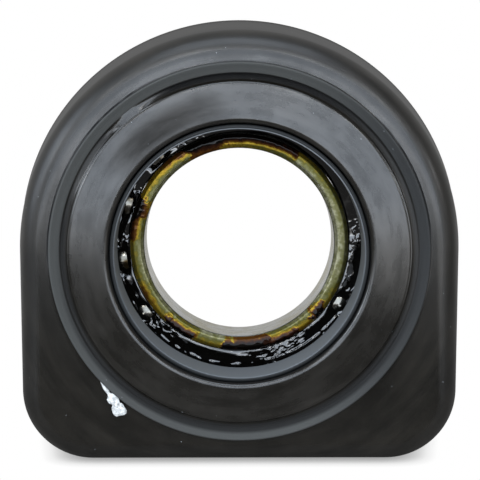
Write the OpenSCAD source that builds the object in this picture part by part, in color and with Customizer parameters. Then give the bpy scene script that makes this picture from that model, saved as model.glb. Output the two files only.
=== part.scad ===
// Driveshaft centre bearing: a deep groove ball bearing held in a moulded rubber cushion.
// Millimetres. The shaft runs along Y, the face that is seen first looks along -Y, and +Z is up.
// The origin is the centre of the bearing.

/* [Bearing] */
// Bore of the inner ring, which seats the shaft
bore_d = 65; // [62:0.5:67]
// Outside diameter of the outer ring
bearing_od = 100; // [98:0.5:102]
// Width of both rings
bearing_w = 18; // [16.5:0.5:19]
// Diameter of one ball
ball_d = 11.1; // [10.6:0.1:11.3]
// Number of balls round the bearing
ball_count = 13; // [12:1:13]
// Angle of the first ball, from +X towards +Z
first_ball_angle = 23.3; // [0:0.1:27]
// Radial gap between the lands of the two rings
land_gap = 7.6; // [7:0.1:8.2]
// Radius of a raceway as a share of the ball diameter
race_share = 0.52; // [0.515:0.005:0.53]
// Play between a ball and each raceway
ball_play = 0.1; // [0.08:0.01:0.15]
// Corner bevel on both rings
ring_bevel = 1.2; // [0.6:0.1:1.5]

/* [Cage] */
// Sheet thickness of each cage half
cage_t = 1.1; // [0.8:0.1:1.3]
// Radial width of the cage band
cage_band = 4.6; // [4:0.1:5]
// Room between a ball and its pocket
pocket_play = 0.3; // [0.2:0.05:0.4]
// Shank diameter of a cage rivet
rivet_d = 2; // [1.5:0.1:2.2]
// Head diameter of a cage rivet
rivet_head_d = 3.4; // [3:0.1:3.6]
// Head height of a cage rivet
rivet_head_h = 0.8; // [0.5:0.1:1]
// Radial room between a rivet shank and its hole
rivet_play = 0.05; // [0.03:0.01:0.1]

/* [Retainers] */
// Outside diameter of the retainer's nose, in the mouth of the cushion
nose_d = 84.4; // [84:0.1:85]
// Thickness of the nose at its front edge
nose_tip = 1.5; // [0.8:0.1:1.7]
// How far the nose stays behind the cushion's face
nose_setback = 0.8; // [0.4:0.1:2]
// Diameter of the nose at its narrowest, the inner lip
lip_d = 81.3; // [80.6:0.1:82]
// Depth of the inner lip behind the cushion's face
lip_depth = 15.2; // [14:0.1:17]
// Sheet thickness of the retainer's cup
retainer_wall = 1.9; // [1.5:0.1:2.2]
// Radial room between the retainer's cup and its seat
retainer_play = 0.1; // [0.05:0.05:0.3]
// Room between the retainer's flare and the rubber
flare_play = 0.4; // [0.2:0.1:0.8]

/* [Cushion block] */
// Radius of the block over the top, at the parting line
block_r = 75.2; // [74.5:0.1:80]
// Width of the block along the shaft
block_w = 66; // [62:0.5:68]
// Height of the bearing's centre above the base
base_h = 71; // [69:0.5:75]
// Width of the flat strip on the base, along the shaft
base_flat_w = 40; // [30:1:50]
// Radius of the two lower corners
corner_r = 26.2; // [20:0.2:28]
// Draft of the sides, from the parting line towards each face
draft = 6.2; // [5:0.2:8]
// Radius of the edge between the sides and each face
edge_r = 8; // [6:0.5:8]

/* [Cushion hub] */
// Width of the cushion over both hub faces
cushion_w = 72; // [71:0.5:76]
// Diameter of the mouth in each face
mouth_d = 85.3; // [84.9:0.1:87]
// Rounding of the edge of the mouth
mouth_round = 1.6; // [0.8:0.1:2]
// Diameter of the hub face
hub_d = 112.8; // [110:0.2:114]
// How far the hub face falls back at its rim
hub_fall = 2.5; // [1.5:0.1:2.8]
// Rounding of the rim of the hub face
hub_round = 0.9; // [0.5:0.1:1.5]
// Depth of the valley round the hub, behind the cushion's face
valley_depth = 5.2; // [4.8:0.1:6]
// Inner diameter of the sloping band outside the valley
band_d = 117.6; // [117:0.2:119]
// Depth of the band's inner edge behind the cushion's face
band_fall = 3; // [2:0.1:3.5]
// Diameter of the step outside the band
step_d = 124.4; // [122.5:0.1:125]
// Depth of the step's edge behind the cushion's face
step_setback = 1.1; // [0.6:0.1:1.5]

/* [Hidden] */
$fn = 96;
ARC_STEPS = 8;
ROOM = 200;

ball_r = ball_d / 2;
bore_r = bore_d / 2;
seat_r = bearing_od / 2;
pitch_r = (bore_r + seat_r) / 2;
ball_step = 360 / ball_count;
inner_land_r = pitch_r - land_gap / 2;
outer_land_r = pitch_r + land_gap / 2;
race_r = ball_d * race_share;
race_offset = race_r - ball_r - ball_play;

band_in_r = pitch_r - cage_band / 2;
band_out_r = pitch_r + cage_band / 2;
pocket_r = ball_r + pocket_play;

face_h = cushion_w / 2;
bearing_h = bearing_w / 2;
nose_r = nose_d / 2;
lip_r = lip_d / 2;
lip_h = face_h - lip_depth;
cup_r = seat_r - retainer_play;
cup_in_r = cup_r - retainer_wall;
flare_front_h = lip_h + retainer_wall;
flare_back_h = flare_front_h - (cup_r - nose_r);
flare_angle = 45;
flare_in_h = flare_back_h - retainer_wall * tan(flare_angle / 2);
flare_in_r = cup_in_r - (lip_h - flare_in_h);

mouth_r = mouth_d / 2;
hub_r = hub_d / 2;
valley_out_r = band_d / 2;
step_r = step_d / 2;
flare_room = flare_play * sqrt(2);
mouth_h = flare_front_h + flare_room - (mouth_r - nose_r);
seat_h = mouth_h - (seat_r - mouth_r);
valley_h = face_h - valley_depth;
valley_slope = 1;
hub_slope = atan(hub_fall / (hub_r - mouth_r));

block_h = block_w / 2;
base_relief = base_flat_w / 2 * tan(draft);
corner_x = block_r - corner_r;
corner_y = base_h + base_relief - corner_r;
seam_overlap = 1;

function ball_angle(i) = first_ball_angle + (i - 1) * ball_step;
function ball_name(i) = str("ball_", i < 10 ? "0" : "", i);

// Points along an arc about a centre
function arc(centre, r, from, to) =
    [for (k = [0 : ARC_STEPS]) let (a = from + (to - from) * k / ARC_STEPS)
        centre + r * [cos(a), sin(a)]];

// A front half outline followed by its mirror image behind the middle plane
function both_sides(points) =
    concat(points, [for (k = [len(points) - 1 : -1 : 0]) [points[k][0], -points[k][1]]]);

// Turns a shape that faces local +Z to face the front
module along_shaft() {
    rotate([90, 0, 0]) children();
}

// Places children at one point on the ball circle
module on_pitch(angle) {
    rotate([0, 0, angle]) translate([pitch_r, 0, 0]) children();
}

// Outline of the block's edge for an outline of radius r: face, rounded edge, drafted side
function block_edge(r) =
    let (centre_h = block_h - edge_r,
         centre_r = r - (edge_r + sin(draft) * centre_h) / cos(draft))
    arc([centre_r, centre_h], edge_r, 90, draft);

function block_half(r) = concat([[0, block_h]], block_edge(r), [[r, 0]]);

// The D-shaped block: a turned top, straight sides and two turned lower corners
module block() {
    side = both_sides(block_half(block_r));
    foot = both_sides(block_half(corner_r));
    rotate_extrude(angle = 180) polygon(side);
    rotate([90, 0, 0]) linear_extrude(corner_y) {
        polygon(side);
        mirror([1, 0]) polygon(side);
    }
    translate([0, -corner_y, 0]) rotate([90, 0, 90])
        linear_extrude(2 * corner_x, center = true)
            mirror([1, 0]) polygon(foot);
    for (side_x = [-1, 1])
        translate([side_x * corner_x, -corner_y, 0]) rotate([0, 0, side_x > 0 ? -90 : 180])
            rotate_extrude(angle = 90) polygon(foot);
}

// Section of the turned hub: bearing seat, mouth, hub face, valley, sloping band and step
function hub_half() = concat(
    [[seat_r, seat_h], [mouth_r, mouth_h]],
    arc([mouth_r + mouth_round, face_h - mouth_round], mouth_round, 180, 90 - hub_slope),
    arc([hub_r - hub_round, face_h - hub_fall - hub_round], hub_round, 90 - hub_slope, 0),
    [[hub_r + valley_slope, valley_h],
     [valley_out_r - valley_slope / 2, valley_h],
     [valley_out_r, face_h - band_fall],
     [step_r, face_h - step_setback]]
);

module rubber_cushion() {
    color("#2b2c2e") along_shaft() {
        difference() {
            block();
            cylinder(r = step_r - seam_overlap, h = ROOM, center = true);
            translate([0, -base_h - ROOM / 2, 0]) cube(ROOM, center = true);
        }
        rotate_extrude() polygon(both_sides(hub_half()));
    }
}

// Section of a retainer: rounded nose, inner lip, flare and the cup that bears on the outer ring
function retainer_section() = concat(
    [[lip_r, lip_h]],
    arc([nose_r - nose_tip / 2, face_h - nose_setback - nose_tip / 2], nose_tip / 2, 180, 0),
    [[nose_r, flare_front_h],
     [cup_r, flare_back_h],
     [cup_r, bearing_h],
     [cup_in_r, bearing_h],
     [cup_in_r, flare_in_h],
     [flare_in_r, lip_h]]
);

module retainer() {
    color("#3c3d40") rotate_extrude() polygon(retainer_section());
}

module front_retainer() {
    along_shaft() retainer();
}

module rear_retainer() {
    along_shaft() mirror([0, 0, 1]) retainer();
}

// Section of a ring between two radii, with bevelled corners
module ring_section(inner_r, outer_r) {
    polygon(both_sides([
        [inner_r, bearing_h - ring_bevel],
        [inner_r + ring_bevel, bearing_h],
        [outer_r - ring_bevel, bearing_h],
        [outer_r, bearing_h - ring_bevel]
    ]));
}

module outer_ring() {
    color("#aeb1b5") along_shaft() rotate_extrude() difference() {
        ring_section(outer_land_r, seat_r);
        translate([pitch_r - race_offset, 0]) circle(r = race_r);
    }
}

module inner_ring() {
    color("#b5ac82") along_shaft() rotate_extrude() difference() {
        ring_section(bore_r, inner_land_r);
        translate([pitch_r + race_offset, 0]) circle(r = race_r);
    }
}

module ball(i) {
    color("#8e9196") along_shaft() on_pitch(ball_angle(i)) sphere(d = ball_d);
}

// One half of the ribbon cage: flat bridges with a rivet hole, and a round pocket over each ball
module cage_half() {
    color("#8b7f5c") intersection() {
        difference() {
            union() {
                cylinder(r = band_out_r + cage_t, h = cage_t);
                for (i = [1 : ball_count]) on_pitch(ball_angle(i)) sphere(r = pocket_r + cage_t);
            }
            for (i = [1 : ball_count]) {
                on_pitch(ball_angle(i)) sphere(r = pocket_r);
                on_pitch(ball_angle(i) + ball_step / 2)
                    cylinder(d = rivet_d + 2 * rivet_play, h = ROOM, center = true);
            }
        }
        rotate_extrude() translate([band_in_r, 0]) square([cage_band, bearing_h]);
    }
}

module front_cage() {
    along_shaft() cage_half();
}

module rear_cage() {
    along_shaft() mirror([0, 0, 1]) cage_half();
}

// A rivet that holds the two cage halves together between two balls
module cage_rivets() {
    color("#a39a7a") along_shaft()
        for (i = [1 : ball_count]) on_pitch(ball_angle(i) + ball_step / 2) {
            cylinder(d = rivet_d, h = 2 * cage_t + rivet_head_h, center = true);
            for (side = [0, 1]) mirror([0, 0, side]) translate([0, 0, cage_t])
                cylinder(d1 = rivet_head_d, d2 = rivet_d, h = rivet_head_h);
        }
}

rubber_cushion();
front_retainer();
rear_retainer();
outer_ring();
inner_ring();
front_cage();
rear_cage();
cage_rivets();
for (i = [1 : ball_count]) ball(i);
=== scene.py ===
# %% [markdown]
# # Dressing a driveshaft centre bearing
# The CAD part gives exact solids in metres. This lesson loads them as a fixed frame and gives them their
# looks: a softer rubber moulding, greasy steel, a lumpy fill of grease and a studio to see it all in.

# %% Load the frame
import math
from types import SimpleNamespace
import bpy
import numpy as np
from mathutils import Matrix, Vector, noise


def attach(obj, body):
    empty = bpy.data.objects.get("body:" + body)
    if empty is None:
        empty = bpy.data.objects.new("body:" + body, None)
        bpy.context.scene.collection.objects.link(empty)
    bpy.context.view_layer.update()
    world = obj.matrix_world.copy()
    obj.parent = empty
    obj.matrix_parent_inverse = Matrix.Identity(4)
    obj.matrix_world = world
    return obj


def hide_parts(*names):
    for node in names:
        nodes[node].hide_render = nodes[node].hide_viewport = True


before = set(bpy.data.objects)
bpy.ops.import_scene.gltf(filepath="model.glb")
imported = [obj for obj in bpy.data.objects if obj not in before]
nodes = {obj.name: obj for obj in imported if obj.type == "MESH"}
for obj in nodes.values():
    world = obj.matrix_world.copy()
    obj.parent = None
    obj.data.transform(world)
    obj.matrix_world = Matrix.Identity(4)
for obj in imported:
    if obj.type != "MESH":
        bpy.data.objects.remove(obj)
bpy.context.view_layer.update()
MM = 0.001

# %% [markdown]
# ## Camera
# A product photograph is often taken from close by, so near edges look larger than far ones. The place and
# the lens below were found by fitting the circles of this part: the camera stands about half a metre ahead
# and looks down a little. A target point and two angles are easier to read than a matrix.

# %% Place the camera
CAMERA_TARGET = Vector((0.15, -33.0, 4.56)) * MM
CAMERA_DISTANCE = 479.5 * MM
CAMERA_AZIMUTH = math.radians(-0.31)
CAMERA_ELEVATION = math.radians(8.14)
CAMERA_LENS = 110.7
SENSOR_WIDTH = 36.0


def direction(azimuth, elevation):
    """A unit vector from the part: azimuth 0 is straight ahead of the front face."""
    flat = math.cos(elevation)
    return Vector((math.sin(azimuth) * flat, -math.cos(azimuth) * flat, math.sin(elevation)))


def aim(thing, place, target):
    """Puts a camera or a lamp somewhere and turns it to look at a point."""
    thing.location = place
    thing.rotation_euler = (target - place).to_track_quat("-Z", "Y").to_euler()
    bpy.context.scene.collection.objects.link(thing)


camera_data = bpy.data.cameras.new("camera")
camera_data.lens = CAMERA_LENS
camera_data.sensor_width = SENSOR_WIDTH
camera = bpy.data.objects.new("camera", camera_data)
away = direction(CAMERA_AZIMUTH, CAMERA_ELEVATION)
aim(camera, CAMERA_TARGET + CAMERA_DISTANCE * away, CAMERA_TARGET)
bpy.context.scene.camera = camera
print("camera at", [round(c, 3) for c in camera.location])

# %% [markdown]
# ## Helpers for meshes
# Every new piece here is a grid of points: rows along a section and columns round the shaft. One function
# joins the grid into faces, another makes it an object that rides on a CAD body. Noise comes from
# Blender's own noise functions, which give the same values on every run.

# %% Mesh helpers
SEED_STEP = (17.3, 5.1, 11.7)


def grid_faces(rows, columns, close_rows=False, close_columns=True):
    """Quads between neighbouring rows and columns of a grid of points."""
    row = np.arange(rows if close_rows else rows - 1)
    column = np.arange(columns if close_columns else columns - 1)
    i, j = np.meshgrid(row, column, indexing="ij")
    i2 = (i + 1) % rows
    j2 = (j + 1) % columns
    corners = [i * columns + j, i * columns + j2, i2 * columns + j2, i2 * columns + j]
    return np.stack(corners, axis=-1).reshape(-1, 4)


def make_piece(name, points, faces, body, material):
    """A smooth mesh from points in mm, riding on a CAD body."""
    mesh = bpy.data.meshes.new(name)
    mesh.from_pydata((np.asarray(points) * MM).tolist(), [], np.asarray(faces).tolist())
    mesh.shade_smooth()
    mesh.materials.append(material)
    piece = bpy.data.objects.new(name, mesh)
    bpy.context.scene.collection.objects.link(piece)
    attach(piece, body)
    print(name, len(mesh.vertices), "points on", body)
    return piece


def fbm(points, size, octaves=3, seed=0.0):
    """Layered noise, about -1 to 1, whose largest lumps are about size mm across."""
    shift = Vector([seed * step for step in SEED_STEP])
    total = np.zeros(len(points))
    for octave in range(octaves):
        scale = 2 ** octave / size
        layer = [noise.noise(Vector(p) * scale + shift) for p in points]
        total += np.array(layer) / 2 ** octave
    return total


def arc(centre, radius, start, end, steps):
    """Points along an arc, angles in degrees."""
    angles = np.radians(np.linspace(start, end, steps + 1))
    return np.stack([centre[0] + radius * np.cos(angles), centre[1] + radius * np.sin(angles)], axis=1)


def smooth(t):
    """Rises from 0 to 1 with soft ends, and stays there outside them."""
    t = np.clip(t, 0, 1)
    return t * t * (3 - 2 * t)


def sector(angle, centre, half):
    """1 in the middle of a sector of the turn and 0 outside it, angles in degrees."""
    apart = np.abs((angle - centre + 180) % 360 - 180)
    return smooth(1 - apart / half)


# %% [markdown]
# ## Helpers for materials
# Colours are written as they look on a screen, in sRGB, and one function turns them into the linear values
# that the shader works with. One more function adds a node, sets it and links it, so that each material
# below reads as a short list. A node can be handed on as it is, and then its first output in use is linked.

# %% Material helpers
def linear(code):
    """Linear RGBA from an sRGB hex code."""
    parts = [int(code[k:k + 2], 16) / 255 for k in (1, 3, 5)]
    low = 0.04045
    return tuple(c / 12.92 if c <= low else ((c + 0.055) / 1.055) ** 2.4 for c in parts) + (1.0,)


def grey(level):
    """A neutral colour of a linear level."""
    return (level, level, level, 1.0)


def per_metre(size_mm):
    """Texture scale that gives a pattern of about that size, because textures count in metres here."""
    return 1 / (size_mm * MM)


def add_node(tree, kind, inputs=None, stops=None, **settings):
    """Adds one node: settings are its properties, inputs are values, other nodes or their outputs."""
    made = tree.nodes.new(kind)
    for key, value in settings.items():
        setattr(made, key, value)
    for key, value in (inputs or {}).items():
        if isinstance(value, bpy.types.Node):
            value = next(socket for socket in value.outputs if socket.enabled)
        if isinstance(value, bpy.types.NodeSocket):
            tree.links.new(value, made.inputs[key])
        else:
            made.inputs[key].default_value = value
    if stops:
        ramp = made.color_ramp.elements
        while len(ramp) < len(stops):
            ramp.new(1.0)
        for element, (place, colour) in zip(ramp, stops):
            element.position = place
            element.color = colour
    return made


def new_material(name):
    """An empty material and its node tree."""
    material = bpy.data.materials.new(name)
    material.use_nodes = True
    material.node_tree.nodes.clear()
    print("material:", name)
    return material, material.node_tree


# %% [markdown]
# ## Masks round the shaft
# The painted shade and light, the wear and the wiped sheen of this part lie in rings and sectors about the
# shaft. They could be painted by hand, but then they would hang on one mesh. So each mark here is a ring
# between two radii times a sector around an angle, worked out from a point's place. Angles are in degrees
# and count up from the right over the top, as one looks at the front face.

# %% Mask helpers
RIGHT = 0
TOP = 90
BOTTOM = 270
# A sector holds its angle and half width, then the share outside it and the share in its middle.
ALL_ROUND = (TOP, 180, 1.0, 1.0)


def polar(tree):
    """A point's place, its radius, angle and depth about the shaft, and its distance off the middle plane."""
    place = add_node(tree, "ShaderNodeTexCoord").outputs["Object"]
    x, depth, z = add_node(tree, "ShaderNodeSeparateXYZ", {"Vector": place}).outputs
    flat = add_node(tree, "ShaderNodeCombineXYZ", {"X": x, "Y": z})
    return SimpleNamespace(
        place=place, depth=depth,
        radius=add_node(tree, "ShaderNodeVectorMath", {0: flat}, operation="LENGTH"),
        angle=add_node(tree, "ShaderNodeMath", {0: z, 1: x}, operation="ARCTAN2"),
        off_middle=add_node(tree, "ShaderNodeMath", {0: depth}, operation="ABSOLUTE"))


def between(tree, value, low, high, border):
    """1 where a length lies between two limits, fading out over a border on both sides of each, in mm."""
    rise = add_node(tree, "ShaderNodeMapRange", {
        "Value": value, "From Min": (low - border) * MM, "From Max": (low + border) * MM})
    fall = add_node(tree, "ShaderNodeMapRange", {
        "Value": value, "From Min": (high - border) * MM, "From Max": (high + border) * MM,
        "To Min": 1.0, "To Max": 0.0})
    return add_node(tree, "ShaderNodeMath", {0: rise, 1: fall}, operation="MULTIPLY")


def around(tree, angle, centre, half, least, most):
    """Most at an angle round the shaft, fading to least at a half width on both sides, in degrees."""
    apart = add_node(tree, "ShaderNodeMath", {0: angle, 1: math.radians(centre)}, operation="SUBTRACT")
    turned = add_node(tree, "ShaderNodeMath", {0: apart}, operation="COSINE")
    return add_node(tree, "ShaderNodeMapRange", {
        "Value": turned, "From Min": math.cos(math.radians(half)), "From Max": 1.0,
        "To Min": least, "To Max": most}, interpolation_type="SMOOTHSTEP")


def marks_at(tree, at, marks):
    """The strongest of several marks, each a ring in a sector of the turn."""
    strongest = 0.0
    for ring, part in marks:
        mark = add_node(tree, "ShaderNodeMath", {
            0: between(tree, at.radius, *ring), 1: around(tree, at.angle, *part)}, operation="MULTIPLY")
        strongest = add_node(tree, "ShaderNodeMath", {0: strongest, 1: mark}, operation="MAXIMUM")
    return strongest


# %% [markdown]
# ## Rubber
# Natural rubber filled with soot is a very dark, half matt solid. A new moulding carries a thin film of
# release agent, so the faces that hands and rags touched have a wiped, bluish sheen with fine streaks. The
# hollows are painted near black, as painted shade, and stay dull; pale specks of dust lie all over, and the
# rounded edges are scuffed. Most of that is roughness and a clear coat: apart from the painted shade, the
# colour hardly changes.

# %% Where the rubber is wiped and rubbed, and where shade is painted
# A ring: from and to a radius, and its border, in mm.
MOUTH_GROOVE = (42.0, 42.75, 0.1)
HUB_FACE = (42.6, 56.4, 0.1)
SWELL_RING = (55.5, 62.2, 0.3)
BAND = (58.7, 62.15, 0.25)
STEP_SIDE = (62.0, 64.8, 1.0)
CREASE = (62.1, 62.75, 0.1)
SWELL_AT = 128.0
SWELL_HALF = 17.0
# The sector at the right where the band is darker.
BAND_DARKER_RIGHT = (RIGHT, 75, 0.0, 1.0)
# The film is whole on the hub and beside the step, and on the swelling that fills the valley in one place.
FILM_KEPT = ((HUB_FACE, ALL_ROUND), (STEP_SIDE, (TOP, 100, 0.0, 1.0)))
SWOLLEN = ((SWELL_RING, (SWELL_AT, SWELL_HALF, 0.0, 1.0)), (SWELL_RING, (150, 22, 0.0, 0.6)))
RUBBED = (((44.2, 52.5, 2.0), (121, 29, 0.0, 1.0)),)
# Painted shade: darkest along the top of the valley, and spread onto the band below the shaft.
VALLEY_SHADE = (((56.7, 58.6, 0.25), (100, 85, 0.3, 1.0)), ((57.2, 59.8, 0.5), (BOTTOM, 115, 0.0, 0.85)),
               ((56.9, 58.7, 0.7), (178, 42, 0.0, 0.75)))
# Broken dark lines of painted shade along the step, in three sectors.
CREASE_SHADE_MARKS = ((CREASE, (134, 24, 0.0, 1.0)), (CREASE, (168, 22, 0.0, 1.0)), (CREASE, (22, 26, 0.0, 1.0)))
# Patterns: size of their lumps in mm, and the length that a radian of the turn counts for in them.
WIPE_SIZE = 3.6
WIPE_TURN = 9 * MM
CLOUD_SIZE = 17.0
STREAK_SIZE = 0.9
STREAK_TURN = 4 * MM


def wipe_marks(tree, at):
    """Marks of a hand that wiped round the hub, long round the shaft, and the same broken up by clouds."""
    along = add_node(tree, "ShaderNodeMath", {0: at.angle, 1: WIPE_TURN}, operation="MULTIPLY")
    wiped_at = add_node(tree, "ShaderNodeCombineXYZ", {"X": along, "Y": at.radius, "Z": at.depth})
    wipe = add_node(tree, "ShaderNodeTexNoise", {
        "Vector": wiped_at, "Scale": per_metre(WIPE_SIZE), "Detail": 5.0, "Roughness": 0.62})
    cloud = add_node(tree, "ShaderNodeTexNoise", {
        "Vector": at.place, "Scale": per_metre(CLOUD_SIZE), "Detail": 4.0, "Roughness": 0.6})
    return wipe, add_node(tree, "ShaderNodeMath", {0: wipe, 1: cloud}, operation="MULTIPLY")


def streaks(tree, at):
    """Share of the film that is left in the fine streaks that a rag drew round the hub."""
    drawn = add_node(tree, "ShaderNodeMath", {0: at.angle, 1: STREAK_TURN}, operation="MULTIPLY")
    drawn_at = add_node(tree, "ShaderNodeCombineXYZ", {"X": drawn, "Y": at.radius})
    streak = add_node(tree, "ShaderNodeTexNoise", {
        "Vector": drawn_at, "Scale": per_metre(STREAK_SIZE), "Detail": 3.0, "Roughness": 0.6})
    return add_node(tree, "ShaderNodeMapRange", {
        "Value": streak, "From Min": 0.35, "From Max": 0.65, "To Min": 0.78, "To Max": 1.0})


def rubber_painted_shade(tree, at, wipe, swollen):
    """Black painted shade in the hollows, and in the fine broken crevice that the mould left by the step."""
    valley = add_node(tree, "ShaderNodeMix", {0: swollen, 2: marks_at(tree, at, VALLEY_SHADE), 3: 0.0})
    hollow = add_node(tree, "ShaderNodeMath", {0: valley, 1: between(tree, at.radius, *MOUTH_GROOVE)},
                      operation="MAXIMUM")
    torn = add_node(tree, "ShaderNodeMapRange", {"Value": wipe, "From Min": 0.38, "From Max": 0.5})
    crease_shade = add_node(tree, "ShaderNodeMath", {0: marks_at(tree, at, CREASE_SHADE_MARKS), 1: torn}, operation="MULTIPLY")
    return hollow, crease_shade


# %% [markdown]
# ## Rubber, put together
# The sheen comes first: how much film is left, and how rough the rubber is. Then dust and painted shade
# cover it, one layer after the other, and under them no film is left. The Mix node keeps its two numbers on
# sockets 2 and 3 and its two colours on 6 and 7, so a mix below names its sockets by number.

# %% Moulded rubber
# Near black painted shade, for the hollows and the line beside the step.
PAINTED_SHADE = "#050505"
DUST = "#8d9093"
SMEAR = (0.14, 0.4)
WIPED_ROUGH = (0.24, 0.34)
MOULDED_ROUGH = 0.2
SCUFFED_ROUGH = 0.42
SIDE_ROUGH = 0.5
DUSTED_ROUGH = 0.75
RUBBED_ROUGH = 0.85
# Roughness where the hollows and the step are painted with shade.
PAINTED_SHADE_ROUGH = 0.95
# Distances from the middle plane over which the sheen sets in, and over which the scuffs of the edge end.
SHEEN_DEPTH = (26.5 * MM, 31.0 * MM)
SCUFF_DEPTH = (32.5 * MM, 32.95 * MM)


def rubber_sheen(tree, at, wipe, smear, swollen):
    """Weight of the release film on the rubber, and roughness of the rubber, before dust and painted shade.
    """
    kept = add_node(tree, "ShaderNodeMath", {0: marks_at(tree, at, FILM_KEPT), 1: swollen},
                    operation="MAXIMUM")
    face = add_node(tree, "ShaderNodeMapRange", {
        "Value": at.off_middle, "From Min": SHEEN_DEPTH[0], "From Max": SHEEN_DEPTH[1]})
    # A rag rubbed the film away in one place at the upper left.
    rub_cloud = add_node(tree, "ShaderNodeMapRange", {
        "Value": wipe, "From Min": 0.3, "From Max": 0.6, "To Min": 1.0, "To Max": 0.75})
    rubbed = add_node(tree, "ShaderNodeMath", {0: marks_at(tree, at, RUBBED), 1: rub_cloud},
                      operation="MULTIPLY")
    film = add_node(tree, "ShaderNodeMapRange", {
        "Value": smear, "From Min": 0.13, "From Max": 0.3, "To Min": 0.12, "To Max": 1.0})
    whole = add_node(tree, "ShaderNodeMapRange", {"Value": kept, "To Min": 0.2, "To Max": 1.0})
    spared = add_node(tree, "ShaderNodeMath", {0: 1.0, 1: rubbed}, operation="SUBTRACT")
    for share in (whole, streaks(tree, at), spared, face):
        film = add_node(tree, "ShaderNodeMath", {0: film, 1: share}, operation="MULTIPLY")
    # The flat of the block is as smooth as the mould; its rounded edge is scuffed.
    block = add_node(tree, "ShaderNodeMapRange", {
        "Value": at.off_middle, "From Min": SCUFF_DEPTH[0], "From Max": SCUFF_DEPTH[1],
        "To Min": SCUFFED_ROUGH, "To Max": MOULDED_ROUGH})
    wiped = add_node(tree, "ShaderNodeMapRange", {
        "Value": smear, "From Min": SMEAR[0], "From Max": SMEAR[1],
        "To Min": WIPED_ROUGH[0], "To Max": WIPED_ROUGH[1]})
    rough = add_node(tree, "ShaderNodeMix", {0: kept, 2: block, 3: wiped})
    rough = add_node(tree, "ShaderNodeMix", {0: rubbed, 2: rough, 3: RUBBED_ROUGH})
    return film, add_node(tree, "ShaderNodeMix", {0: face, 2: SIDE_ROUGH, 3: rough})


def make_rubber():
    """Black rubber: a dull body colour, with a soft sheen where a film is left on it."""
    material, tree = new_material("Carbon black rubber, moulded and wiped")
    at = polar(tree)
    wipe, smear = wipe_marks(tree, at)
    swollen = marks_at(tree, at, SWOLLEN)
    film, rough = rubber_sheen(tree, at, wipe, smear, swollen)
    hollow, crease_shade = rubber_painted_shade(tree, at, wipe, swollen)
    colour = add_node(tree, "ShaderNodeValToRGB", {"Fac": smear}, stops=[
        (SMEAR[0], linear("#110f0b")), (SMEAR[1], linear("#201d18"))])
    # The sloping band was dusted and never wiped, so it is greyer and quite matt, and darker towards the
    # right.
    band = between(tree, at.radius, *BAND)
    dusted = add_node(tree, "ShaderNodeMix", {
        0: around(tree, at.angle, *BAND_DARKER_RIGHT), 6: linear("#3b3c3a"), 7: linear("#1f2020")}, data_type="RGBA")
    # Dust: sparse pale specks of about a third of a millimetre, which change only the colour.
    dust = add_node(tree, "ShaderNodeTexVoronoi", {"Vector": at.place, "Scale": per_metre(4.5)})
    speck = add_node(tree, "ShaderNodeMath", {0: dust, 1: 0.03}, operation="LESS_THAN")
    # Layers over the body colour: the dusted band, painted shade in the hollows, dust specks, painted shade
    # by the step.
    layers = ((band, dusted, DUSTED_ROUGH), (hollow, linear(PAINTED_SHADE), PAINTED_SHADE_ROUGH), (speck, linear(DUST), None),
              (crease_shade, linear(PAINTED_SHADE), PAINTED_SHADE_ROUGH))
    covered = 0.0
    for share, cover, cover_rough in layers:
        colour = add_node(tree, "ShaderNodeMix", {0: share, 6: colour, 7: cover}, data_type="RGBA")
        if cover_rough:
            rough = add_node(tree, "ShaderNodeMix", {0: share, 2: rough, 3: cover_rough})
            covered = add_node(tree, "ShaderNodeMath", {0: covered, 1: share}, operation="MAXIMUM")
    film = add_node(tree, "ShaderNodeMath", {0: film, 1: covered}, operation="SUBTRACT", use_clamp=True)
    grain = add_node(tree, "ShaderNodeTexNoise", {"Vector": at.place, "Scale": per_metre(0.9), "Detail": 2.0})
    bump = add_node(tree, "ShaderNodeBump", {"Height": grain, "Strength": 0.12, "Distance": 0.1 * MM})
    shader = add_node(tree, "ShaderNodeBsdfPrincipled", {
        "Base Color": colour, "Roughness": rough, "IOR": 1.52, "Coat Weight": film, "Coat Roughness": 0.2,
        "Coat IOR": 1.5, "Normal": bump})
    add_node(tree, "ShaderNodeOutputMaterial", {"Surface": shader})
    return material


rubber = make_rubber()

# %% [markdown]
# ## The moulding
# The cushion is one piece of rubber: a turned hub and mouth in the middle of a D-shaped block. The grid has
# a column for each point of the D and a row for each point of the section. Near the shaft a column is a
# plain radius; near the edge its points step in from the D at right angles, so the rounded edge keeps its
# size all the way round. A real mould leaves a thin line where its two halves met, so the middle row
# stands out a little. The valley round the hub is deep only along the top, and in one place the rubber has
# swollen and fills it.

# %% Sizes of the cushion
SEAT_R = 50.0
BLOCK_R = 75.2
CORNER_R = 26.2
CORNER_X = BLOCK_R - CORNER_R
DRAFT = 6.2
EDGE_R = 8.0
BASE_Z = -71.0
BASE_FLAT_HALF = 20.0
CORNER_Z = BASE_Z - BASE_FLAT_HALF * math.tan(math.radians(DRAFT)) + CORNER_R
FACE_Y = 33.0
OUTLINE_STEP = 1.1
# Parting line: how far its two rows stand out, and their height above the middle plane.
PARTING_LINE = ((0.12, 0.5), (0.2, 0.0))
# Heights of the rows on the side, places of the rows across the flat face, and room between crowded rows.
SIDE_ROWS = (20.0, 12.0, 5.0, 1.2)
FLAT_ROWS = (0.1, 0.3, 0.6, 0.85)
ROW_ROOM = 0.04
# Radii across the valley, and the height that a full swelling has there.
VALLEY_R = (55.9, 57.2, 58.7)
SWELL_TOP = (33.35, 33.3, 33.0)
# The valley is shallower away from the top: angle, half width and share of its depth that is filled.
SHALLOWS = ((5, 60, 0.75), (-90, 105, 0.7), (182, 42, 0.6), (150, 26, 0.75))


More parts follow.
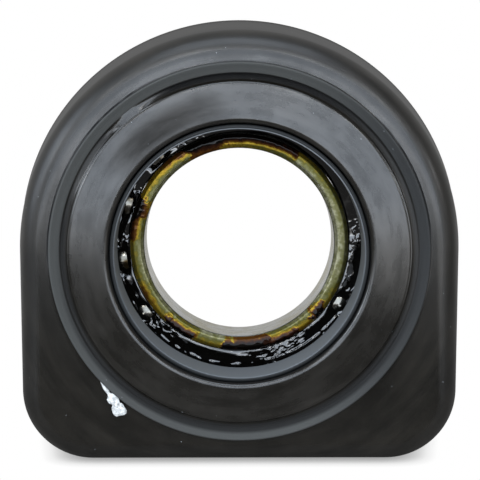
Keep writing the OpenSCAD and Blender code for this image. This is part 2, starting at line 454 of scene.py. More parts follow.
def hub_section():
    """Radius and height of the turned part, from the seat out to the foot of the step."""
    return np.concatenate([
        [(SEAT_R, 0.0), (SEAT_R, 7.0), (SEAT_R, 15.0), (49.7, 15.7), (46.9, 18.5), (43.0, 22.4),
         (42.65, 22.9), (42.65, 28.0), (42.65, 33.0)],
        arc((44.25, 34.4), 1.6, 180, 79.7, 10),
        [(47.3, 35.35), (50.1, 34.73), (52.9, 34.11)],
        arc((54.9, 32.23), 1.4, 79.7, 5, 9),
        [(56.6, 32.0), (56.95, 31.3), (57.4, 30.9), (57.9, 30.85), (58.25, 31.2), (58.45, 32.0)],
        arc((59.1, 32.7), 0.5, 165, 120, 4),
        [(59.8, 33.55), (60.7, 34.1)],
        arc((61.7, 34.25), 0.5, 120, 0, 6),
        [(62.2, 33.6), (62.22, 33.2), (62.35, 33.05), (62.7, 33.0)],
    ])


def edge_section():
    """Step in from the D, and height, from the flat face out to the parting line."""
    draft = math.radians(DRAFT)
    mid = FACE_Y - EDGE_R
    inset = (EDGE_R + math.sin(draft) * mid) / math.cos(draft)
    curve = arc((0.0, mid), EDGE_R, 90, DRAFT, 12)
    rows = [(inset - x, h) for x, h in curve]
    foot, high = rows[-1]
    for h in SIDE_ROWS:
        rows.append((foot * h / high, h))
    for out, h in PARTING_LINE:
        rows.append((-out, h))
    return np.array(rows)


# %% Build the cushion
def d_outline():
    """Points and outward normals of the D, from +X over the top and round."""
    points = []
    normals = []

    def turn(cx, cz, radius, start, end):
        count = max(8, int(abs(math.radians(end - start)) * radius / OUTLINE_STEP))
        for a in np.radians(np.linspace(start, end, count, endpoint=False)):
            points.append((cx + radius * math.cos(a), cz + radius * math.sin(a)))
            normals.append((math.cos(a), math.sin(a)))

    def run(start, end, normal):
        start = np.array(start)
        end = np.array(end)
        count = int(np.linalg.norm(end - start) / OUTLINE_STEP)
        for t in np.linspace(0, 1, count, endpoint=False):
            points.append(tuple(start + t * (end - start)))
            normals.append(normal)

    turn(0, 0, BLOCK_R, 0, 180)
    run((-BLOCK_R, 0), (-BLOCK_R, CORNER_Z), (-1, 0))
    turn(-CORNER_X, CORNER_Z, CORNER_R, 180, 270)
    run((-CORNER_X, CORNER_Z - CORNER_R), (CORNER_X, CORNER_Z - CORNER_R), (0, -1))
    turn(CORNER_X, CORNER_Z, CORNER_R, 270, 360)
    run((BLOCK_R, CORNER_Z), (BLOCK_R, 0), (1, 0))
    return np.array(points), np.array(normals)


def valley_fill(unit):
    """Share of the valley's depth that is filled, for each column."""
    turned = np.degrees(np.arctan2(unit[:, 1], unit[:, 0]))
    filled = sector(turned, SWELL_AT, SWELL_HALF)
    for centre, spread, share in SHALLOWS:
        filled = np.maximum(filled, share * np.sqrt(sector(turned, centre, spread)))
    return filled


def cushion_points():
    """All points of the cushion, row by row, front seat to front edge, then back edge to back seat."""
    outline, normal = d_outline()
    hub = hub_section()
    edge = edge_section()
    tangent = outline - edge[0, 0] * normal
    radius = np.linalg.norm(tangent, axis=1)
    unit = tangent / radius[:, None]
    filled = valley_fill(unit)
    half = []
    for order, (r, h) in enumerate(hub):
        # Where the flat is narrower than the hub, the rows crowd together instead of crossing the edge.
        room = radius - ROW_ROOM * (len(hub) - order)
        flat = unit * np.minimum(r, room)[:, None]
        lift = np.interp(r, VALLEY_R, SWELL_TOP, left=h, right=h) - h
        half.append((flat, h + np.maximum(lift, 0) * filled))
    rim = half[-1][0]
    for share in FLAT_ROWS:
        half.append((rim + share * (tangent - rim), FACE_Y))
    for step, h in edge:
        half.append((outline - step * normal, h))
    front = []
    for flat, h in half:
        flat = np.stack([flat[:, 0], np.maximum(flat[:, 1], BASE_Z)], axis=1)
        front.append(np.stack([flat[:, 0], -h * np.ones(len(flat)), flat[:, 1]], axis=1))
    back = [row * np.array([1, -1, 1]) for row in reversed(front[1:-1])]
    rows = front + back
    return np.concatenate(rows), len(rows), len(outline)


points, rows, columns = cushion_points()
cushion_faces = grid_faces(rows, columns, close_rows=True)
cushion = make_piece("cushion", points, cushion_faces, "housing", rubber)
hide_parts("rubber_cushion")

# %% [markdown]
# ## Steel
# The rings and balls are hardened bearing steel, ground smooth, and the cage is pressed from softer sheet.
# Ground steel is bright where a clean cloth passed and yellowed where old grease dried on it. One function
# makes these three, because only the tint, the gloss and the stain differ. The retainers are pressed steel
# with a dark phosphate coat, so they look almost like the rubber. Their inner wall is painted lighter, most
# at the bottom where it faces up, as painted light, and a thin painted highlight runs along the nose's edge.

# %% Ground and pressed steel
# Painted light on the retainers' inner wall, most at the bottom, and a painted highlight along the nose's
# edge.
WALL_PAINTED_LIGHT = (((40.0, 41.0, 0.12), (BOTTOM, 140, 0.05, 1.0)),)
NOSE_HIGHLIGHT = (((40.6, 41.05, 0.06), (TOP, 125, 0.0, 1.0)),)
NOSE_DEPTH = (34.2, 36.0, 0.2)


def make_steel(name, clean, stained, stain_size, gloss, fleck_share=0.0):
    """Steel whose stain lies in soft clouds, with fine marks round the shaft and a few flecks of grease."""
    material, tree = new_material(name)
    at = polar(tree)
    cloud = add_node(tree, "ShaderNodeTexNoise", {
        "Vector": at.place, "Scale": per_metre(stain_size), "Detail": 4.0, "Roughness": 0.6})
    colour = add_node(tree, "ShaderNodeValToRGB", {"Fac": cloud}, stops=[
        (0.38, linear(clean)), (0.66, linear(stained))])
    spread = add_node(tree, "ShaderNodeTexVoronoi", {"Vector": at.place, "Scale": per_metre(3.5)})
    fleck = add_node(tree, "ShaderNodeMath", {0: spread, 1: fleck_share}, operation="LESS_THAN")
    colour = add_node(tree, "ShaderNodeMix", {0: fleck, 6: colour, 7: linear("#1a1612")}, data_type="RGBA")
    # Grinding marks are finer than a pixel here, so they are drawn about four times coarser.
    ground_at = add_node(tree, "ShaderNodeCombineXYZ", {"Y": at.radius, "Z": at.depth})
    marks = add_node(tree, "ShaderNodeTexNoise", {
        "Vector": ground_at, "Scale": per_metre(0.16), "Detail": 2.0})
    rough = add_node(tree, "ShaderNodeMapRange", {
        "Value": marks, "From Min": 0.3, "From Max": 0.7, "To Min": gloss - 0.05, "To Max": gloss + 0.07})
    bump = add_node(tree, "ShaderNodeBump", {"Height": marks, "Strength": 0.08, "Distance": 0.02 * MM})
    shader = add_node(tree, "ShaderNodeBsdfPrincipled", {
        "Base Color": colour, "Metallic": 1.0, "Roughness": rough, "Normal": bump})
    add_node(tree, "ShaderNodeOutputMaterial", {"Surface": shader})
    return material


def make_coated():
    """Black phosphate coat, half matt, with painted light on the inner wall and a painted nose highlight."""
    material, tree = new_material("Retainer steel, phosphate coated")
    at = polar(tree)
    # Painted light: the inner wall is lighter, most at the bottom, where it faces up.
    colour = add_node(tree, "ShaderNodeMix", {
        0: marks_at(tree, at, WALL_PAINTED_LIGHT), 6: linear("#1e2021"), 7: linear("#63676a")}, data_type="RGBA")
    # A thin painted highlight along the edge of the nose.
    nose_highlight = add_node(tree, "ShaderNodeMath", {
        0: marks_at(tree, at, NOSE_HIGHLIGHT), 1: between(tree, at.off_middle, *NOSE_DEPTH)}, operation="MULTIPLY")
    colour = add_node(tree, "ShaderNodeMix", {0: nose_highlight, 6: colour, 7: linear("#7d8083")}, data_type="RGBA")
    grain = add_node(tree, "ShaderNodeTexNoise", {"Vector": at.place, "Scale": per_metre(0.5), "Detail": 2.0})
    bump = add_node(tree, "ShaderNodeBump", {"Height": grain, "Strength": 0.1, "Distance": 0.05 * MM})
    shader = add_node(tree, "ShaderNodeBsdfPrincipled", {
        "Base Color": colour, "Roughness": 0.55, "IOR": 1.5, "Specular IOR Level": 0.25, "Normal": bump})
    add_node(tree, "ShaderNodeOutputMaterial", {"Surface": shader})
    return material


def paint(names, material):
    """Gives CAD nodes a new material."""
    for name in names:
        nodes[name].data.materials.clear()
        nodes[name].data.materials.append(material)
    print(material.name, "on", len(names), "nodes")


ring_steel = make_steel("Bearing steel, ground bright", "#b9bab6", "#a29d82", 9.0, 0.24, 0.09)
ball_steel = make_steel("Bearing steel, lapped balls", "#c4c5c4", "#9a9486", 6.0, 0.12)
cage_steel = make_steel("Cage steel, pressed and oiled", "#8d8b84", "#3f3523", 5.0, 0.17)
paint(["inner_ring", "outer_ring"], ring_steel)
paint([name for name in nodes if name.startswith("ball_")], ball_steel)
paint(["front_cage", "rear_cage", "cage_rivets"], cage_steel)
paint(["front_retainer", "rear_retainer"], make_coated())

# %% [markdown]
# ## Dried film on the inner ring
# Old grease dries to a skin on the ring's faces. Where it is thin the steel shines through, so it looks
# olive or straw coloured, and where it is thicker it turns amber, brown and then black. A list gives its
# thickness for each angle, and it thins out from the balls towards the bore. The skin is a grid laid over
# the ring's section. A wavy shift of the angle gives the patches ragged borders, and the thick ones stand
# up and catch the light.

# %% Film colours and levels
# Thickness of the film, 0 to 1, and the colour that it gives to the steel under it.
FILM_COLOURS = [(0.0, "#aba88a"), (0.08, "#7f7d58"), (0.2, "#615f2b"), (0.38, "#a48827"), (0.52, "#623c13"),
                (0.68, "#2c150a"), (0.84, "#0a0705")]
# Angle round the shaft in degrees, and thickness there.
FRONT_LEVELS = [
    (0, 0.08), (20, 0.15), (40, 0.2), (55, 0.25), (57, 0.6), (75, 0.7), (88, 0.74), (97, 0.76), (100, 0.92),
    (118, 0.88), (121, 0.5), (136, 0.38), (146, 0.3), (150, 0.32), (152, 0.82), (166, 0.9), (169, 0.55),
    (178, 0.55), (180, 0.22), (198, 0.2), (207, 0.45), (216, 0.35), (226, 0.22), (228, 0.68), (244, 0.72),
    (247, 0.22), (260, 0.28), (263, 0.86), (284, 0.9), (288, 0.66), (300, 0.62), (302, 0.36), (312, 0.34),
    (315, 0.88), (321, 0.8), (324, 0.25), (340, 0.15),
]
BACK_LEVELS = [(0, 0.2), (40, 0.25), (70, 0.55), (95, 0.3), (140, 0.2), (170, 0.45), (200, 0.7), (225, 0.25),
               (255, 0.85), (285, 0.8), (310, 0.45), (335, 0.15)]


def make_film():
    """Steel shines through a thin film and not through a thick one, which is wet and smooth."""
    material, tree = new_material("Grease film, dried on steel")
    thickness = add_node(tree, "ShaderNodeAttribute", attribute_name="thickness").outputs["Fac"]
    place = add_node(tree, "ShaderNodeTexCoord").outputs["Object"]
    mottle = add_node(tree, "ShaderNodeTexNoise", {
        "Vector": place, "Scale": per_metre(1.5), "Detail": 4.0, "Roughness": 0.6})
    uneven = add_node(tree, "ShaderNodeMapRange", {
        "Value": mottle, "From Min": 0.3, "From Max": 0.7, "To Min": -0.09, "To Max": 0.09})
    level = add_node(tree, "ShaderNodeMath", {0: thickness, 1: uneven}, operation="ADD")
    colour = add_node(tree, "ShaderNodeValToRGB", {"Fac": level}, stops=[
        (stop, linear(code)) for stop, code in FILM_COLOURS])
    shown_steel = add_node(tree, "ShaderNodeMapRange", {
        "Value": level, "From Min": 0.4, "From Max": 0.7, "To Min": 0.65, "To Max": 0.0})
    wet = add_node(tree, "ShaderNodeMapRange", {
        "Value": level, "From Min": 0.2, "From Max": 0.7, "To Min": 0.34, "To Max": 0.07})
    bump = add_node(tree, "ShaderNodeBump", {"Height": mottle, "Strength": 0.15, "Distance": 0.1 * MM})
    shader = add_node(tree, "ShaderNodeBsdfPrincipled", {
        "Base Color": colour, "Metallic": shown_steel, "Roughness": wet, "IOR": 1.48,
        "Specular IOR Level": 0.22, "Normal": bump})
    add_node(tree, "ShaderNodeOutputMaterial", {"Surface": shader})
    return material


film_material = make_film()

# %% Lay the film on both faces of the ring
FILM_COLUMNS = 1000
FILM_ROWS = 34
RING_SECTION = [(32.75, 8.05), (33.2, 8.5), (33.62, 8.93), (33.75, 9.0), (36.2, 9.0), (36.33, 8.93),
                (36.8, 8.45), (37.3, 7.95)]
# Share of the film's thickness that is left at these radii, from the bore out to the balls.
FILM_REACH_R = (33.7, 34.5, 35.4, 37.3)
FILM_REACH = (0.3, 0.5, 1.0, 1.35)
# How far the borders between patches wander: size in mm of their lumps and grains, and degrees.
BORDER_LUMP = (3.6, 7)
BORDER_GRAIN = (0.8, 1.5)
# How far the border towards the bore wanders: size of its lumps and reach, in mm.
CREEP = (1.8, 0.4)
# A film of this thickness and up, over this range, keeps most of it towards the bore.
HEAVY_FROM = 0.7
HEAVY_RANGE = 0.25
HEAVY_KEPT = 0.65
# A film of this thickness and up, over this range, swells; heights in mm.
LUMP_FROM = 0.5
LUMP_RANGE = 0.35
LUMP_RISE = 0.45
SKIN_RISE = 0.06
SKIN_LEAST = 0.02


def film_level(flat, r, a, levels, seed):
    """Thickness of the film at points of the ring, 0 to 1."""
    wander = fbm(flat, BORDER_LUMP[0], 3, seed) * BORDER_LUMP[1]
    wander = wander + fbm(flat, BORDER_GRAIN[0], 2, seed + 1) * BORDER_GRAIN[1]
    given_at, given = np.array(levels).T
    level = np.interp(np.degrees(a) + wander, given_at, given, period=360)
    # Grease creeps in from the balls, so the film thins out towards the bore, least where it is thickest.
    reach = r + CREEP[1] * fbm(flat, CREEP[0], 2, seed + 2)
    share = np.interp(reach, FILM_REACH_R, FILM_REACH)
    heavy = np.clip((level - HEAVY_FROM) / HEAVY_RANGE, 0, 1)
    share += HEAVY_KEPT * heavy * np.clip(1 - share, 0, 1)
    return np.clip(level * share, 0, 1)


def lay_film(name, levels, side, seed):
    """A skin over one face of the inner ring; side is -1 in front and 1 behind."""
    section_r, section_h = np.array(RING_SECTION).T
    radii = np.interp(np.linspace(0, 1, FILM_ROWS), np.linspace(0, 1, len(section_r)), section_r)
    angles = np.linspace(0, 2 * math.pi, FILM_COLUMNS, endpoint=False)
    r, a = [part.ravel() for part in np.meshgrid(radii, angles, indexing="ij")]
    h = np.interp(r, section_r, section_h)
    flat = np.stack([r * np.cos(a), np.zeros(len(r)), r * np.sin(a)], axis=1)
    level = film_level(flat, r, a, levels, seed)
    uneven = 0.7 + 0.3 * fbm(flat, 2.0, 2, seed + 3)
    rise = SKIN_LEAST + SKIN_RISE * level + LUMP_RISE * uneven * smooth((level - LUMP_FROM) / LUMP_RANGE)
    points = np.stack([flat[:, 0], side * (h + rise), flat[:, 2]], axis=1)
    faces = grid_faces(FILM_ROWS, FILM_COLUMNS)
    faces = faces if side < 0 else faces[:, ::-1]
    film = make_piece(name, points, faces, "inner_race", film_material)
    layer = film.data.attributes.new("thickness", "FLOAT", "POINT")
    layer.data.foreach_set("value", level.astype(np.float32))


lay_film("film_front", FRONT_LEVELS, -1, 3.0)
lay_film("film_back", BACK_LEVELS, 1, 8.0)

# %% [markdown]
# ## Grease between the rings
# A bearing that is run without seals pushes its grease out into lumps and strings between the rings. It is
# almost black here and wet, so the eye sees only the sparks of the lamps on it. The fill is a height field
# round the shaft: a level for each angle, long waves along the turning direction, and shorter lumps. Along
# the top and the right it lies calm, at the bottom it is piled up into a ridge, and on the left it stands
# lower, so that the balls and the cage come through.

# %% Wet grease
def make_grease():
    """Black and wet: no colour to speak of, and a sharp shine on a softly wrinkled surface."""
    material, tree = new_material("Lithium grease, black and wet")
    place = add_node(tree, "ShaderNodeTexCoord").outputs["Object"]
    wrinkle = add_node(tree, "ShaderNodeTexNoise", {
        "Vector": place, "Scale": per_metre(3.2), "Detail": 1.0, "Distortion": 0.6})
    bump = add_node(tree, "ShaderNodeBump", {"Height": wrinkle, "Strength": 0.3, "Distance": 0.3 * MM})
    shader = add_node(tree, "ShaderNodeBsdfPrincipled", {
        "Base Color": linear("#060504"), "Roughness": 0.06, "IOR": 1.48, "Specular IOR Level": 1.0,
        "Coat Weight": 1.0, "Coat Roughness": 0.06, "Coat IOR": 1.5, "Normal": bump})
    add_node(tree, "ShaderNodeOutputMaterial", {"Surface": shader})
    return material


grease = make_grease()

# %% Shape of the grease
GREASE_COLUMNS = 760
GREASE_RADII = np.linspace(37.55, 44.9, 44)
COMBED_R = 14
PITCH_R = 41.25
FIRST_BALL = 23.3
BALL_STEP = 360 / 13
SHOWN_BALLS = (4, 5, 6, 7, 11)
SHOWN_BALLS_BACK = (1, 5, 9)
# Heights in mm from the middle plane; sectors as angle and half width, and a height or a share where given.
GREASE_LEVEL = 7.6
PILED = (270, 80, 0.9)
LOW = (178, 75, 0.9)
CALM = ((48, 80), (-8, 34))
CALMED_WAVES = 0.75
CALMED_STRINGS = 0.8
LEAN = (55, 62, 0.34)
TORN = ((280, 60, 0.35), (109, 16, 0.7))
STRING_RISE = 0.7
# Waves: size of their lumps and height, in mm.
LONG_WAVE = (8.0, 0.22)
COMBED_WAVE = (3.4, 0.16)
# The ridge along the bottom, and the pockets round the balls that come through.
RIDGE_SECTOR = (270, 75)
RIDGE_R = 42.2
RIDGE_HALF = 0.4
RIDGE_RISE = 0.6
POCKET_R = PITCH_R - 0.6
POCKET_SIZE = 2.8
POCKET_DEPTH = 2.8
# The grease thins where it meets the rings.
EDGE_DROP = 0.3
EDGE_REACH = 0.25


def swells(degrees, r, flat, combed, seed):
    """The level of the grease with its long waves, and how calm it is."""
    level = GREASE_LEVEL + PILED[2] * sector(degrees, *PILED[:2]) - LOW[2] * sector(degrees, *LOW[:2])
    calm = np.sqrt(np.maximum(sector(degrees, *CALM[0]), sector(degrees, *CALM[1])))
    waves = LONG_WAVE[1] * fbm(flat, LONG_WAVE[0], 2, seed)
    waves = waves + COMBED_WAVE[1] * fbm(combed, COMBED_WAVE[0], 2, seed + 1)
    level += waves * (1 - CALMED_WAVES * calm)
    # At the top it leans in towards the shaft.
    level += LEAN[2] * (r - PITCH_R) * np.sqrt(sector(degrees, *LEAN[:2]))
    return level, calm


def strings(degrees, flat, seed):
    """Torn strings that stand up in a few places, where the balls last threw the grease."""
    torn = 1.5 * fbm(flat, 9.0, 1, seed + 3)
    for centre, half, share in TORN:
        torn = torn + share * sector(degrees, centre, half)
    string = 1 - 4.5 * np.abs(fbm(flat, 2.2, 2, seed + 2))
    return STRING_RISE * np.clip(torn, 0, 1) * np.clip(string, 0, 1)


def ridge(degrees, r, flat, combed, seed):
    """Along the bottom the grease was pushed up into a broken ridge beside the lip."""
    crest = RIDGE_R + 0.5 * fbm(combed, 6.0, 1, seed + 4)
    broken = np.clip(0.3 + 1.8 * fbm(flat, 4.0, 2, seed + 5), 0, 1)
    wall = np.exp(-((r - crest) / RIDGE_HALF) ** 2) * broken
    return RIDGE_RISE * wall * np.sqrt(sector(degrees, *RIDGE_SECTOR))


def pocket(flat, ball):
    """A hollow where a ball comes through."""
    middle = math.radians(FIRST_BALL + ball * BALL_STEP)
    apart = np.hypot(flat[:, 0] - POCKET_R * math.cos(middle), flat[:, 2] - POCKET_R * math.sin(middle))
    return POCKET_DEPTH * np.exp(-(apart / POCKET_SIZE) ** 2)


# %% Fill the gap
def fill_gap(name, side, seed, shown_balls):
    """The grease on one side of the balls; side is -1 in front and 1 behind."""
    angles = np.linspace(0, 2 * math.pi, GREASE_COLUMNS, endpoint=False)
    r, a = [part.ravel() for part in np.meshgrid(GREASE_RADII, angles, indexing="ij")]
    degrees = np.degrees(a)
    flat = np.stack([r * np.cos(a), np.zeros(len(r)), r * np.sin(a)], axis=1)
    # Points squeezed along the turn make swells that run round the shaft.
    combed = np.stack([COMBED_R * np.cos(a), r, COMBED_R * np.sin(a)], axis=1)
    level, calm = swells(degrees, r, flat, combed, seed)
    level += strings(degrees, flat, seed) * (1 - CALMED_STRINGS * calm)
    level += ridge(degrees, r, flat, combed, seed)
    for ball in shown_balls:
        level -= pocket(flat, ball)
    edge = np.minimum(r - GREASE_RADII[0], GREASE_RADII[-1] - r)
    level -= EDGE_DROP * np.exp(-edge / EDGE_REACH)
    points = np.stack([flat[:, 0], side * level, flat[:, 2]], axis=1)
    faces = grid_faces(len(GREASE_RADII), GREASE_COLUMNS)
    make_piece(name, points, faces if side < 0 else faces[:, ::-1], "cage", grease)


fill_gap("grease_front", -1, 2.0, SHOWN_BALLS)
fill_gap("grease_back", 1, 6.0, SHOWN_BALLS_BACK)

# %% [markdown]
# ## A scrap of film at the step
# A torn bit of white wrapping is caught in the corner where the step meets the block. Thin film crumples in
# sharp folds, so the sheet is a coarse grid with flat faces and a torn outline, whose folds come from ridged
# noise, the absolute value of noise turned upside down.

# %% Torn wrapping film
SCRAP_ROWS = 19
SCRAP_COLUMNS = 7
SHEET_THICKNESS = 0.08 * MM
# Along the scrap, from its pointed end to its wide end: place (x, z), half width, rise off the face.
SCRAP_SPINE = [(-45.7, -42.4, 0.15, 0.3), (-44.8, -43.7, 0.5, 0.5), (-43.8, -45.2, 0.65, 0.7),
               (-42.8, -46.6, 0.5, 0.8), (-42.1, -47.4, 1.8, 1.2), (-41.3, -48.7, 1.7, 1.5),
               (-40.7, -49.7, 1.3, 1.5), (-40.2, -50.7, 2.1, 1.6), (-39.7, -51.8, 2.3, 1.7),
               (-39.3, -52.8, 2.2, 1.4), (-39.0, -53.6, 1.7, 0.8)]
# Size and depth of the folds, size and reach of the tears, and the least room over the face, in mm.
FOLD = (2.6, 0.6)
TEAR = (1.8, 0.3)
SCRAP_ROOM = 0.05


def make_scrap_material():
    """Thin white film with a soft shine, whose grey patches, from noise, are painted shade of the folds."""
    material, tree = new_material("Polythene film, torn and crumpled")
    place = add_node(tree, "ShaderNodeTexCoord").outputs["Object"]
    crease_shade = add_node(tree, "ShaderNodeTexNoise", {"Vector": place, "Scale": per_metre(1.2), "Detail": 3.0})
    # Grey patches painted from noise stand in for the shade among the folds.
    colour = add_node(tree, "ShaderNodeValToRGB", {"Fac": crease_shade}, stops=[
        (0.35, linear("#a3a4a2")), (0.6, linear("#e4e5e2"))])
    bump = add_node(tree, "ShaderNodeBump", {"Height": crease_shade, "Strength": 0.4, "Distance": 0.2 * MM})
    shader = add_node(tree, "ShaderNodeBsdfPrincipled", {
        "Base Color": colour, "Roughness": 0.3, "IOR": 1.51, "Normal": bump})
    add_node(tree, "ShaderNodeOutputMaterial", {"Surface": shader})
    return material


def crumple():
    """Points of the scrap: a spine with a half width, thrown into folds."""
    spine = np.array(SCRAP_SPINE)
    t = np.linspace(0, 1, SCRAP_ROWS)
    x, z, half, rise = [np.interp(t, np.linspace(0, 1, len(spine)), spine[:, k]) for k in range(4)]
    run = np.stack([np.gradient(x), np.gradient(z)], axis=1)
    run /= np.linalg.norm(run, axis=1)[:, None]
    across = np.stack([-run[:, 1], run[:, 0]], axis=1)
    points = []
    for k in range(SCRAP_ROWS):
        for v in np.linspace(-1, 1, SCRAP_COLUMNS):
            points.append((x[k] + across[k, 0] * v * half[k], -FACE_Y - rise[k] * (1 - 0.5 * v * v),
                           z[k] + across[k, 1] * v * half[k]))
    points = np.array(points)
    points[:, 1] -= FOLD[1] * (1 - 2 * np.abs(fbm(points, FOLD[0], 2, 4.0)))
    points[:, 0] += TEAR[1] * fbm(points, TEAR[0], 2, 5.0)
    points[:, 2] += TEAR[1] * fbm(points, TEAR[0], 2, 7.0)
    points[:, 1] = np.minimum(points[:, 1], -FACE_Y - SCRAP_ROOM)
    return points


scrap_faces = grid_faces(SCRAP_ROWS, SCRAP_COLUMNS, close_columns=False)
scrap = make_piece("film_scrap", crumple(), scrap_faces, "housing", make_scrap_material())
scrap.data.shade_flat()
sheet_thickness = scrap.modifiers.new("sheet thickness", "SOLIDIFY")
sheet_thickness.thickness = SHEET_THICKNESS

# %% [markdown]
# ## Studio
# A part like this is photographed on white, in front of a large soft lamp. The floor and the world look
# white to the camera and give a plain soft light to everything else. In the part's own reflections they
# are dimmer, as in a real room, where paper at the sides is bright and the camera's end of the room is
# dark. That is what gives black rubber its shape. The floor darkens where the part closes it off, which is
# the soft shadow under the base. The lamps set the level: a wide one ahead and one overhead for the sheen
# on the upper half, a window at the left, and six small ones for the sparks on wet grease.

# %% Paper and room
ROOM_MIRRORED = 0.08
BACKDROP_MIRRORED = 0.6
PLAIN_LIGHT = 0.2
PAPER_LEAST = 0.1
# Patches of brighter paper, in mm: from and to an X, the Y where a patch starts and the Y where it is whole,
# and its brightness. The front is at minus Y, and the last two patches are as wide as the floor.
PATCHES = ((180, 290, -120, -220, 2.0), (-230, -130, -100, -250, 0.3), (310, 520, -360, -460, 1.6),
           (-520, -310, -360, -460, 1.2), (-3000, 3000, -600, -900, 2.4), (-3000, 3000, -140, -60, 0.22))
PATCH_BORDER = 50
# Behind the part the paper brightens over these Y, straight behind it and far out at both sides.
BEHIND = (-120, 120, 0.56)
BEHIND_FAR_OUT = (0, 350, 0.9)
FAR_OUT = (100, 300)
CONTACT_REACH = 7 * MM
CONTACT_TONES = ((0.0, 0.34), (0.5, 0.86), (0.85, 1.0))


def seen_level(tree, mirrored):
    """1 for rays from the camera, the studio's own level for mirrored or refracted rays, else 0."""
    path = add_node(tree, "ShaderNodeLightPath").outputs
    sent_on = add_node(tree, "ShaderNodeMath", {
        0: path["Is Glossy Ray"], 1: path["Is Transmission Ray"]}, operation="MAXIMUM")
    dimmed = add_node(tree, "ShaderNodeMath", {0: sent_on, 1: mirrored}, operation="MULTIPLY")
    return add_node(tree, "ShaderNodeMath", {0: dimmed, 1: path["Is Camera Ray"]}, operation="MAXIMUM")


def paper_mirrored(tree):
    """How bright the paper looks in the part: dim just ahead of it, brighter at both sides and behind."""
    place = add_node(tree, "ShaderNodeTexCoord").outputs["Object"]
    xyz = add_node(tree, "ShaderNodeSeparateXYZ", {"Vector": place})
    x = xyz.outputs["X"]
    y = xyz.outputs["Y"]
    out = add_node(tree, "ShaderNodeMath", {0: x}, operation="ABSOLUTE")
    far_out = add_node(tree, "ShaderNodeMapRange", {
        "Value": out, "From Min": FAR_OUT[0] * MM, "From Max": FAR_OUT[1] * MM})
    behind = []
    for start, whole, bright in (BEHIND, BEHIND_FAR_OUT):
        behind.append(add_node(tree, "ShaderNodeMapRange", {
            "Value": y, "From Min": start * MM, "From Max": whole * MM, "To Max": bright}))
    level = add_node(tree, "ShaderNodeMix", {0: far_out, 2: behind[0], 3: behind[1]})
    level = add_node(tree, "ShaderNodeMath", {0: level, 1: PAPER_LEAST}, operation="MAXIMUM")
    for low, high, start, whole, bright in PATCHES:
        fade = add_node(tree, "ShaderNodeMapRange", {
            "Value": y, "From Min": start * MM, "From Max": whole * MM, "To Max": bright})
        patch = add_node(tree, "ShaderNodeMath", {
            0: between(tree, x, low, high, PATCH_BORDER), 1: fade}, operation="MULTIPLY")
        level = add_node(tree, "ShaderNodeMath", {0: level, 1: patch}, operation="MAXIMUM")
    return level


def make_floor():
    """Matt white paper, which glows for the rays that see it, so that it stays white in the picture."""
    material, tree = new_material("White paper sweep")
    closed = add_node(tree, "ShaderNodeAmbientOcclusion", {"Distance": CONTACT_REACH}, samples=16)
    tone = add_node(tree, "ShaderNodeValToRGB", {"Fac": closed.outputs["AO"]}, stops=[
        (share, grey(level)) for share, level in CONTACT_TONES])
    seen = seen_level(tree, paper_mirrored(tree))
    glow = add_node(tree, "ShaderNodeEmission", {"Color": tone, "Strength": seen})
    paper = add_node(tree, "ShaderNodeBsdfDiffuse", {"Color": grey(0.8)})
    shown = add_node(tree, "ShaderNodeMath", {0: seen, 1: 0.0}, operation="GREATER_THAN")
    mix = add_node(tree, "ShaderNodeMixShader", {0: shown, 1: paper, 2: glow})
    add_node(tree, "ShaderNodeOutputMaterial", {"Surface": mix})
    # What the floor sends out depends on the ray, so rays have to find it by themselves.
    material.cycles.emission_sampling = "NONE"
    return material


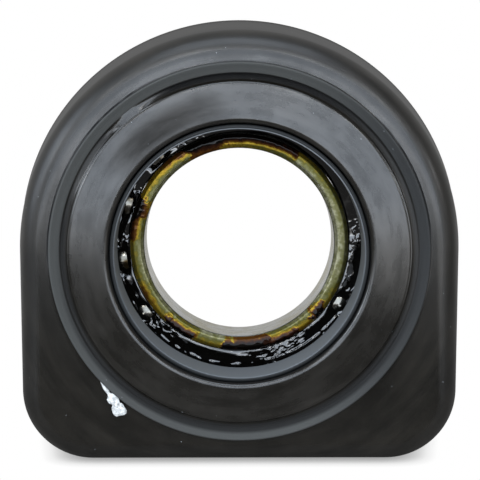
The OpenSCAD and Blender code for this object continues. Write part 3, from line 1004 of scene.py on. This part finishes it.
def make_world():
    """The room: white to the camera, dim in reflections, and a plain soft light for all other rays."""
    world = bpy.data.worlds.new("white studio")
    world.use_nodes = True
    tree = world.node_tree
    tree.nodes.clear()
    toward = add_node(tree, "ShaderNodeTexCoord").outputs["Generated"]
    y = add_node(tree, "ShaderNodeSeparateXYZ", {"Vector": toward}).outputs["Y"]
    mirrored = add_node(tree, "ShaderNodeMapRange", {
        "Value": y, "From Min": -0.2, "From Max": 0.4, "To Min": ROOM_MIRRORED, "To Max": BACKDROP_MIRRORED})
    diffuse = add_node(tree, "ShaderNodeLightPath").outputs["Is Diffuse Ray"]
    plain = add_node(tree, "ShaderNodeMath", {0: diffuse, 1: PLAIN_LIGHT}, operation="MULTIPLY")
    strength = add_node(tree, "ShaderNodeMath", {0: seen_level(tree, mirrored), 1: plain},
                        operation="MAXIMUM")
    glow = add_node(tree, "ShaderNodeBackground", {"Color": grey(1.0), "Strength": strength})
    add_node(tree, "ShaderNodeOutputWorld", {"Surface": glow})
    world.cycles.sampling_method = "NONE"
    return world


# %% Floor, world and lamps
FLOOR_HALF = 2500.0
DAYLIGHT = "#e4f0ff"
WHITE = "#ffffff"
# Name, azimuth and elevation in degrees, distance, width and height in metres, power in watts, colour.
LAMPS = [
    ("front softbox", 0, 12.5, 0.9, 1.5, 0.66, 8.6, DAYLIGHT),
    ("overhead softbox", 0, 64, 0.9, 0.8, 0.5, 4.0, DAYLIGHT),
    ("side window", -70, 21, 0.8, 0.42, 0.46, 2.6, DAYLIGHT),
]
for spark_azimuth, spark_elevation in ((-58, 16), (-36, 31), (-12, 33), (14, 32), (38, 29), (60, 14)):
    LAMPS.append(("small lamp", spark_azimuth, spark_elevation, 0.8, 0.12, 0.12, 0.4, WHITE))


def add_softbox(name, azimuth, elevation, distance, width, height, power, colour):
    """A rectangular lamp that looks at the part."""
    lamp = bpy.data.lights.new(name, "AREA")
    lamp.shape = "RECTANGLE"
    lamp.size = width
    lamp.size_y = height
    lamp.energy = power
    lamp.color = linear(colour)[:3]
    place = distance * direction(math.radians(azimuth), math.radians(elevation))
    aim(bpy.data.objects.new(name, lamp), place, Vector((0, 0, 0)))


floor_corners = [(-FLOOR_HALF, -FLOOR_HALF, BASE_Z), (FLOOR_HALF, -FLOOR_HALF, BASE_Z),
                 (FLOOR_HALF, FLOOR_HALF, BASE_Z), (-FLOOR_HALF, FLOOR_HALF, BASE_Z)]
floor_mesh = bpy.data.meshes.new("floor")
floor_mesh.from_pydata([Vector(c) * MM for c in floor_corners], [], [(0, 1, 2, 3)])
floor_mesh.materials.append(make_floor())
floor = bpy.data.objects.new("floor", floor_mesh)
bpy.context.scene.collection.objects.link(floor)
bpy.context.scene.world = make_world()
for lamp_row in LAMPS:
    add_softbox(*lamp_row)
bpy.context.scene.view_settings.view_transform = "Standard"
print("studio with", len(LAMPS), "lamps")
